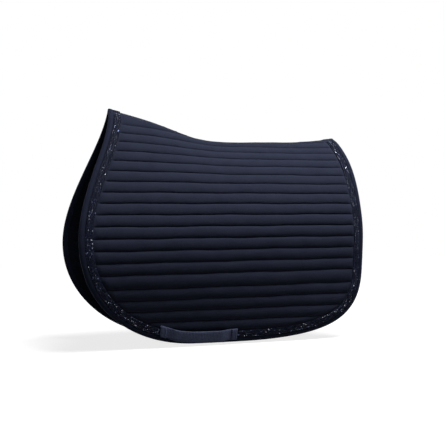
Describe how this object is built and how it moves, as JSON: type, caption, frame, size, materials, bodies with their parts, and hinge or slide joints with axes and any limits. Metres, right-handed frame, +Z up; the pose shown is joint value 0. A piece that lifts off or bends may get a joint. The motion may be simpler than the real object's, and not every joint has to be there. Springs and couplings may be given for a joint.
{
  "type": "saddle pad",
  "caption": "Full-size quilted jumping saddle pad with shaped withers, bound edge, sequin inner band and webbing girth keepers.",
  "frame": {"origin": "the horse's back under the middle of the spine seam, at the height of the lowest point of the topline", "axes": "+X towards the horse's tail, +Y towards the horse's right side, +Z up"},
  "size_m": [0.6678, 0.3262, 0.5342],
  "materials": {
    "quilted_cover": "matt navy cotton twill, quilted in straight channels",
    "wadding": "soft undyed polyester wadding, hidden between cover and lining",
    "lining": "matt dark quick-dry lining",
    "binding_tape": "smooth woven binding tape with a slight sheen",
    "sequin_band": "dark band thickly sewn with small glittering stones",
    "keeper_webbing": "ribbed woven webbing",
    "seam_thread": "stitching thread"
  },
  "bodies": {
    "saddle_area": {"left_seat_cover": "quilted_cover", "left_seat_wadding": "wadding", "left_seat_lining": "lining", "left_seat_front_binding": "binding_tape", "left_seat_rear_binding": "binding_tape", "left_seat_front_sequin_band": "sequin_band", "left_seat_rear_sequin_band": "sequin_band", "left_flap_seam": "seam_thread", "right_seat_cover": "quilted_cover", "right_seat_wadding": "wadding", "right_seat_lining": "lining", "right_seat_front_binding": "binding_tape", "right_seat_rear_binding": "binding_tape", "right_seat_front_sequin_band": "sequin_band", "right_seat_rear_sequin_band": "sequin_band", "right_flap_seam": "seam_thread", "spine_seam": "seam_thread", "spine_tape": "binding_tape"},
    "left_flap": {"left_flap_cover": "quilted_cover", "left_flap_wadding": "wadding", "left_flap_lining": "lining", "left_flap_binding": "binding_tape", "left_flap_sequin_band": "sequin_band", "left_girth_keeper": "keeper_webbing"},
    "right_flap": {"right_flap_cover": "quilted_cover", "right_flap_wadding": "wadding", "right_flap_lining": "lining", "right_flap_binding": "binding_tape", "right_flap_sequin_band": "sequin_band", "right_girth_keeper": "keeper_webbing"}
  },
  "joints": [
    {"name": "left_flap_seam_hinge", "type": "hinge", "parent": "saddle_area", "child": "left_flap", "pos_m": [0, -0.135, -0.17162], "axis": [-0.9988, 0.0489, 0], "range_deg": [-10, 80]},
    {"name": "right_flap_seam_hinge", "type": "hinge", "parent": "saddle_area", "child": "right_flap", "pos_m": [0, 0.135, -0.17162], "axis": [0.9988, 0.0489, 0], "range_deg": [-10, 80]}
  ]
}
